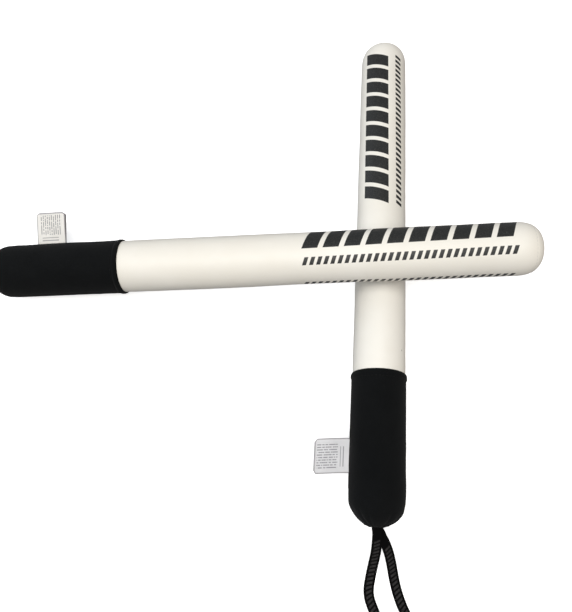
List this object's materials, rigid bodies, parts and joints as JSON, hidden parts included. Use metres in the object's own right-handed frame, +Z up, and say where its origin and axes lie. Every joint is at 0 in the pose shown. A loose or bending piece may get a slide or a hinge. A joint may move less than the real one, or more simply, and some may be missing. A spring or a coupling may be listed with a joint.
{
  "type": "boxing coaching stick",
  "caption": "Padded round coaching sticks for boxing drills, white covered foam barrels with black fabric grips, one leaning across the other, with a wrist loop of woven tape.",
  "frame": {"origin": "on the ground, in the middle of the footprint of the crossed sticks, wrist loop left out", "axes": "+Z up, +Y along the lower stick from its butt to its tip, +X roughly along the upper stick from its butt to its tip"},
  "size_m": [0.5718, 0.7337, 0.1282],
  "materials": {
    "white_cover": "satin synthetic leather",
    "black_grip": "matte stretch fabric",
    "foam": "closed-cell foam",
    "core_plastic": "extruded plastic",
    "plug_plastic": "moulded plastic",
    "white_thread": "polyester thread",
    "black_thread": "polyester thread",
    "label_satin": "satin ribbon",
    "black_tape": "woven tape"
  },
  "bodies": {
    "lower_stick": {"lower_core_tube": "core_plastic", "lower_core_tip_plug": "plug_plastic", "lower_core_butt_plug": "plug_plastic", "lower_foam_sleeve": "foam", "lower_foam_nose": "foam", "lower_foam_butt_pad": "foam", "lower_striking_cover": "white_cover", "lower_nose_cover": "white_cover", "lower_nose_stitching": "white_thread", "lower_grip_cover": "black_grip", "lower_grip_hem": "black_grip", "lower_hem_stitching": "black_thread", "lower_butt_cover": "black_grip", "lower_butt_stitching": "black_thread", "lower_strap_tail": "black_tape"},
    "upper_stick": {"upper_core_tube": "core_plastic", "upper_core_tip_plug": "plug_plastic", "upper_core_butt_plug": "plug_plastic", "upper_foam_sleeve": "foam", "upper_foam_nose": "foam", "upper_foam_butt_pad": "foam", "upper_striking_cover": "white_cover", "upper_nose_cover": "white_cover", "upper_nose_stitching": "white_thread", "upper_grip_cover": "black_grip", "upper_grip_hem": "black_grip", "upper_hem_stitching": "black_thread", "upper_butt_cover": "black_grip", "upper_butt_stitching": "black_thread"},
    "lower_label": {"lower_care_label": "label_satin"},
    "upper_label": {"upper_care_label": "label_satin"},
    "wrist_loop": {"wrist_strap": "black_tape"}
  },
  "joints": [
    {"name": "upper_stick_lift", "type": "slide", "parent": "lower_stick", "child": "upper_stick", "axis": [0, 0, 1], "range_m": [0, 0.3]},
    {"name": "wrist_loop_swing", "type": "hinge", "parent": "lower_stick", "child": "wrist_loop", "pos_m": [0.1372, -0.2915, 0.0275], "axis": [-1, 0, 0], "range_deg": [0, 120]},
    {"name": "lower_label_flap", "type": "hinge", "parent": "lower_stick", "child": "lower_label", "pos_m": [0.1088, -0.224, 0.0275], "axis": [0, 1, 0], "range_deg": [-45, 90], "stiffness_Nm_per_rad": 0.01},
    {"name": "upper_label_flap", "type": "hinge", "parent": "upper_stick", "child": "upper_label", "pos_m": [-0.22298, -0.0238, 0.03311], "axis": [0.9879, 0.0691, 0.1389], "range_deg": [-60, 75], "stiffness_Nm_per_rad": 0.01}
  ]
}
